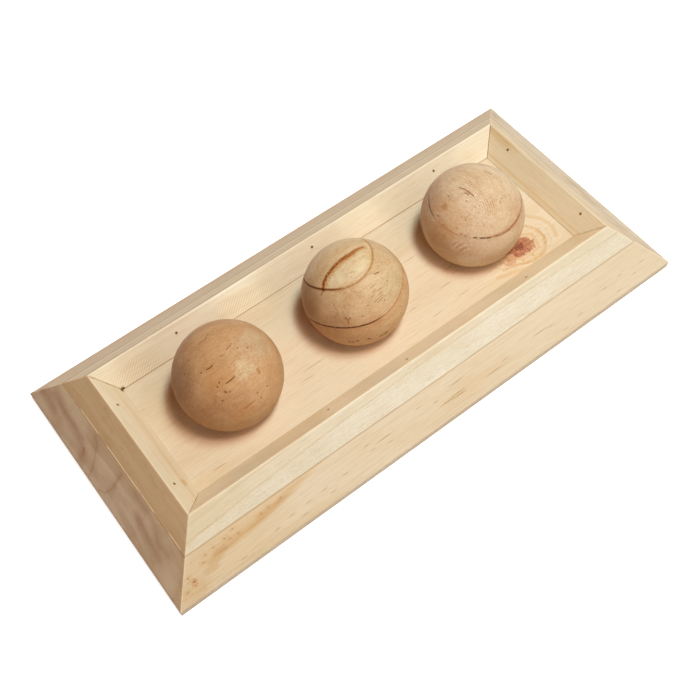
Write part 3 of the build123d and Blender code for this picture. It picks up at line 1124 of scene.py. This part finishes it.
def right_ball_material(node):
    """The pale ball: level rings, broken dashes, a check near its top and turning marks."""
    centre, on_ball = ball_surface(node)
    wood = turned_wood("right_ball_wood", (0.712, 0.525, 0.338), (0.2, -0.95, 0.2), 8)
    from_centre = wood.place.vector("SUBTRACT", centre)
    way = Vector((0.015, -0.044, 0.999)).normalized()
    level = from_centre.dot(way) + (wood.spot.noise(0.12, 2.0) - 0.5) * 0.7
    ring = level - 12.1
    turned_left = wood.facing.dot((-0.82, 0.45, 0.0)).between(0.74, 0.84)
    turned_right = wood.facing.dot((0.55, -0.83, 0.0)).between(0.2, 0.7)
    ragged_line(wood, ring, (0.26, 0.14, 0.09), turned_left, 0.5, 0.9)
    ragged_line(wood, ring, (0.80, 0.62, 0.50), turned_right, 0.8, 2.4)
    ragged_line(wood, ring, (0.90, 0.78, 0.68), None, 0.4, 1.2)
    for at, strength in ((17.2, 0.30), (2.0, 0.35), (-3.0, 0.5), (-6.0, 0.7), (-9.0, 0.5)):
        share = wood.fibre(14, 5).between(0.3, 0.6) * strength
        ragged_line(wood, level - at, (0.76, 0.58, 0.46), share)
    front_ring = [
        on_ball((-131, 28), (-128, 27.6)),
        on_ball((-123, 27), (-118, 26.6)),
        on_ball((-115, 26.2), (-111, 25.8)),
        on_ball((-104, 25), (-95, 24.2), (-84, 24)),
    ]
    wood.draw(front_ring[:3], 0.62, 0.35, (0.20, 0.12, 0.08), 0.9)
    wood.draw(front_ring[3:], 0.6, 0.35, (0.44, 0.29, 0.22), 0.75)
    brown = on_ball((-84, 24), (-74, 25), (-62, 26))
    wood.draw([brown], 1.3, 0.5, (0.80, 0.64, 0.54), 0.8)
    brown_dots = on_ball(
        (174, 34), (-172, 31), (-146, 30), (-154, 35), (164, 57), (-167, 20), (-68, 57),
        (-76, 56), (-132, 61), (-154, 65), (-145, 46), (-141, 29),
    )
    wood.dab(brown_dots, (0.9, 0.55), 0.6, (0.50, 0.33, 0.24), 0.7)
    check = [
        on_ball((158, 71.5), (175, 75), (-165, 75.5), (-151, 74.5), (-139, 73)),
        on_ball((-172, 72.5), (-158, 73)),
    ]
    wood.draw(check, 0.5, 0.3, (0.44, 0.25, 0.11), 0.85)
    crack = on_ball((22, 68), (11, 68), (0, 67))
    wood.draw([crack], 0.5, 0.25, (0.46, 0.30, 0.22), 0.7)
    # Fine turning marks, concentric about a place on the ball's left.
    arcs = wood.place.vector("DISTANCE", on_ball((-164, 45))[0])
    hatch = (arcs * (2 * math.pi / 1.05)).math("SINE").between(0.2, 0.9)
    patch = wood.marks(on_ball((-125, 76), (-105, 64), (-165, 82)), (9.0, 9.0), 0.4)
    patch = patch * wood.spot.noise(0.9, 2.0).between(0.35, 0.6)
    wood.tint(hatch * patch, (0.62, 0.43, 0.29), 0.8)
    wood.lift(hatch * patch * -0.02)
    grit = wood.marks(on_ball((-120, 50), (-132, 58), (-100, 62)), (9.0, 7.0), 0.3)
    wood.tint(grit * wood.flecks(0.9, 0.4, 0.8, 0.5, 6.0), (0.52, 0.36, 0.26), 0.6)
    scratches = wood.place.dot((0.62, 0.78, 0.0)) * (2 * math.pi / 0.9)
    scratched = wood.marks(on_ball((-149, 15), (-142, 14)), (4.0, 3.6), 0.3)
    wood.tint(scratches.math("SINE").between(0.0, 0.8) * scratched, (0.74, 0.58, 0.46), 0.6)
    wood.tint(scratches.math("SINE").between(0.0, -0.8) * scratched, (1.12, 1.16, 1.20), 0.8)
    return finish_ball(wood, on_ball, (
        # Painted shade: warmer and darker towards the left limb.
        (-172, 42, 15.0, (0.97, 0.90, 0.82)),
        (-168, 22, 10.0, (0.96, 0.84, 0.72)),
        (174, 47, 2.6, (0.86, 0.72, 0.60)),
        # Painted shade: the left limb darker.
        (141, 34, 11.0, (0.92, 0.86, 0.84)),
        (-49, 34, 12.0, (0.96, 0.90, 0.88)),
        # Painted light: the underside lighter and cooler.
        (-130, -10, 13.0, (1.05, 1.12, 1.20)),
    ))


# ---- steel and stage ----
def steel_material():
    """Dull, oxidised brad steel."""
    wood = Wood("brad_steel_dull", (0.10, 0.085, 0.07), UP, 9)
    scale = wood.spot.noise(2.5, 3.0)
    wood.tint(scale.between(0.4, 0.7), (0.55, 0.48, 0.42), 0.8)
    wood.lift((scale - 0.5) * 0.02)
    wood.inputs["Metallic"].default_value = 0.85
    return wood.finish(0.6, 0.05, 0.2)


PAPER_GLOW = 0.84               # of the stage floor, on top of what lights it
BACKDROP = 0.95                 # the grey behind the stage, just short of white


def seen_only(tree, strength, amount):
    """Makes a surface or the world shine for the camera without lighting the tray."""
    path = add_node(tree, "LightPath", {}, "Is Camera Ray")
    plug(tree, path * amount, strength)


def stage_material():
    """White paper, as bright as in the photo: only the nearest shadow shows on it."""
    material = bpy.data.materials.new("stage_white")
    material.use_nodes = True
    inputs = material.node_tree.nodes["Principled BSDF"].inputs
    inputs["Base Color"].default_value = (0.93, 0.93, 0.93, 1)
    inputs["Roughness"].default_value = 0.95
    inputs["Specular IOR Level"].default_value = 0.0
    inputs["Emission Color"].default_value = (1, 1, 1, 1)
    seen_only(material.node_tree, inputs["Emission Strength"], PAPER_GLOW)
    return material


def paint(piece, material):
    """Gives a piece one material."""
    piece.data.materials.clear()
    piece.data.materials.append(material)


# ---- the pieces ----
paint(make_board(), board_material())
rail_materials = {
    "front": front_rail_material,
    "right": right_rail_material,
    "back": back_rail_material,
    "left": left_rail_material,
}
for count, (side, rail_material) in enumerate(rail_materials.items()):
    paint(make_rail(side, 3.0 + 5.0 * count), rail_material())
ball_materials = (left_ball_material, middle_ball_material, right_ball_material)
ball_bodies = ("left_ball", "middle_ball", "right_ball")
for count, (node, body, ball_material) in enumerate(zip(BALLS, ball_bodies, ball_materials)):
    paint(make_ball(node, body, 11.0 + 7.0 * count), ball_material(node))
steel = steel_material()
for side in SIDES:
    paint(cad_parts[f"brads_{side}"], steel)

# ---- stage ----
STAGE_REACH = 4.0
STAGE_GAP = 0.02 * MM           # keeps the floor clear of the underside
corners = ((-1, -1), (1, -1), (1, 1), (-1, 1))
floor_mesh = bpy.data.meshes.new("stage_floor")
floor_mesh.from_pydata([(STAGE_REACH * u, STAGE_REACH * v, 0) for u, v in corners], [], [range(4)])
stage_floor = bpy.data.objects.new("stage_floor", floor_mesh)
stage_floor.location.z = -STAGE_GAP
bpy.context.scene.collection.objects.link(stage_floor)
paint(stage_floor, stage_material())

# ---- camera: the photo's view, fitted to the tray's edges and the balls' outlines ----
CAMERA_PLACE = Vector((-0.159995, -0.227585, 0.449941))
CAMERA_WAY = Vector((0.28506, 0.43432, -0.85446)).normalized()
CAMERA_UP = Vector((0.53144, 0.67027, 0.51799))
FOCAL_LENGTH, SENSOR_WIDTH = 56.02, 36.0        # millimetres

lens = bpy.data.cameras.new("camera")
lens.lens, lens.sensor_width = FOCAL_LENGTH, SENSOR_WIDTH
lens.clip_start, lens.clip_end = 0.01, 20.0
camera = bpy.data.objects.new("camera", lens)
right = CAMERA_WAY.cross(CAMERA_UP).normalized()
turn = Matrix((right, right.cross(CAMERA_WAY), -CAMERA_WAY)).transposed()
camera.matrix_world = Matrix.Translation(CAMERA_PLACE) @ turn.to_4x4()
bpy.context.scene.collection.objects.link(camera)
bpy.context.scene.camera = camera

# ---- light ----
LIGHT_AIM = Vector((0, 0, 0.02))
# Soft light from above and a little right, and fills from all round. Each lamp has a name,
# a place, a size across, and watts of red, green and blue, set so that each face is as warm
# as in the photo, and the shadows are warmest.
LAMPS = (
    ("key", (0.18, -0.25, 1.15), 0.12, (1.10, 1.65, 1.83)),
    ("key_halo", (0.16, -0.25, 1.15), 0.32, (6.50, 5.00, 4.33)),
    ("key_right", (0.30, -0.10, 1.20), 0.20, (1.75, 2.90, 3.25)),
    ("overhead", (0.15, -0.05, 0.70), 0.18, (0.70, 1.14, 1.28)),
    ("near_front", (0.15, -0.30, 0.45), 0.30, (0.46, 0.34, 0.29)),
    ("near_left", (-0.10, -0.05, 0.45), 0.30, (0.07, 0.012, 0.004)),
    ("low_front", (0.13, -0.90, 0.27), 0.12, (0.76, 0.82, 0.82)),
    ("front_fill", (0.0, -0.90, 0.60), 0.60, (1.30, 1.50, 1.53)),
    ("back_fill", (0.0, 0.90, 0.40), 0.60, (0.95, 0.50, 0.34)),
    ("back_right_fill", (0.95, 0.95, 0.30), 0.50, (2.40, 1.90, 1.65)),
    ("right_fill", (0.90, 0.0, 0.35), 0.50, (0.71, 0.95, 1.00)),
    ("left_fill", (-0.90, 0.15, 0.45), 0.60, (0.48, 0.16, 0.06)),
    ("front_left_fill", (-0.90, -0.90, 0.50), 0.60, (0.90, 0.34, 0.14)),
)
for name, place, size, watts in LAMPS:
    light = bpy.data.lights.new(name, "AREA")
    light.shape, light.size, light.energy = "DISK", size, max(watts)
    light.color = [value / max(watts) for value in watts]
    lamp = bpy.data.objects.new(name, light)
    lamp.location = place
    lamp.rotation_euler = (Vector(place) - LIGHT_AIM).to_track_quat("Z", "Y").to_euler()
    lamp.visible_camera = False
    bpy.context.scene.collection.objects.link(lamp)

bpy.context.scene.view_settings.view_transform = "Standard"
world = bpy.data.worlds.new("world")
bpy.context.scene.world = world
world.use_nodes = True
background = world.node_tree.nodes["Background"]
background.inputs["Color"].default_value = (BACKDROP, BACKDROP, BACKDROP, 1)
seen_only(world.node_tree, background.inputs["Strength"], 1.0)
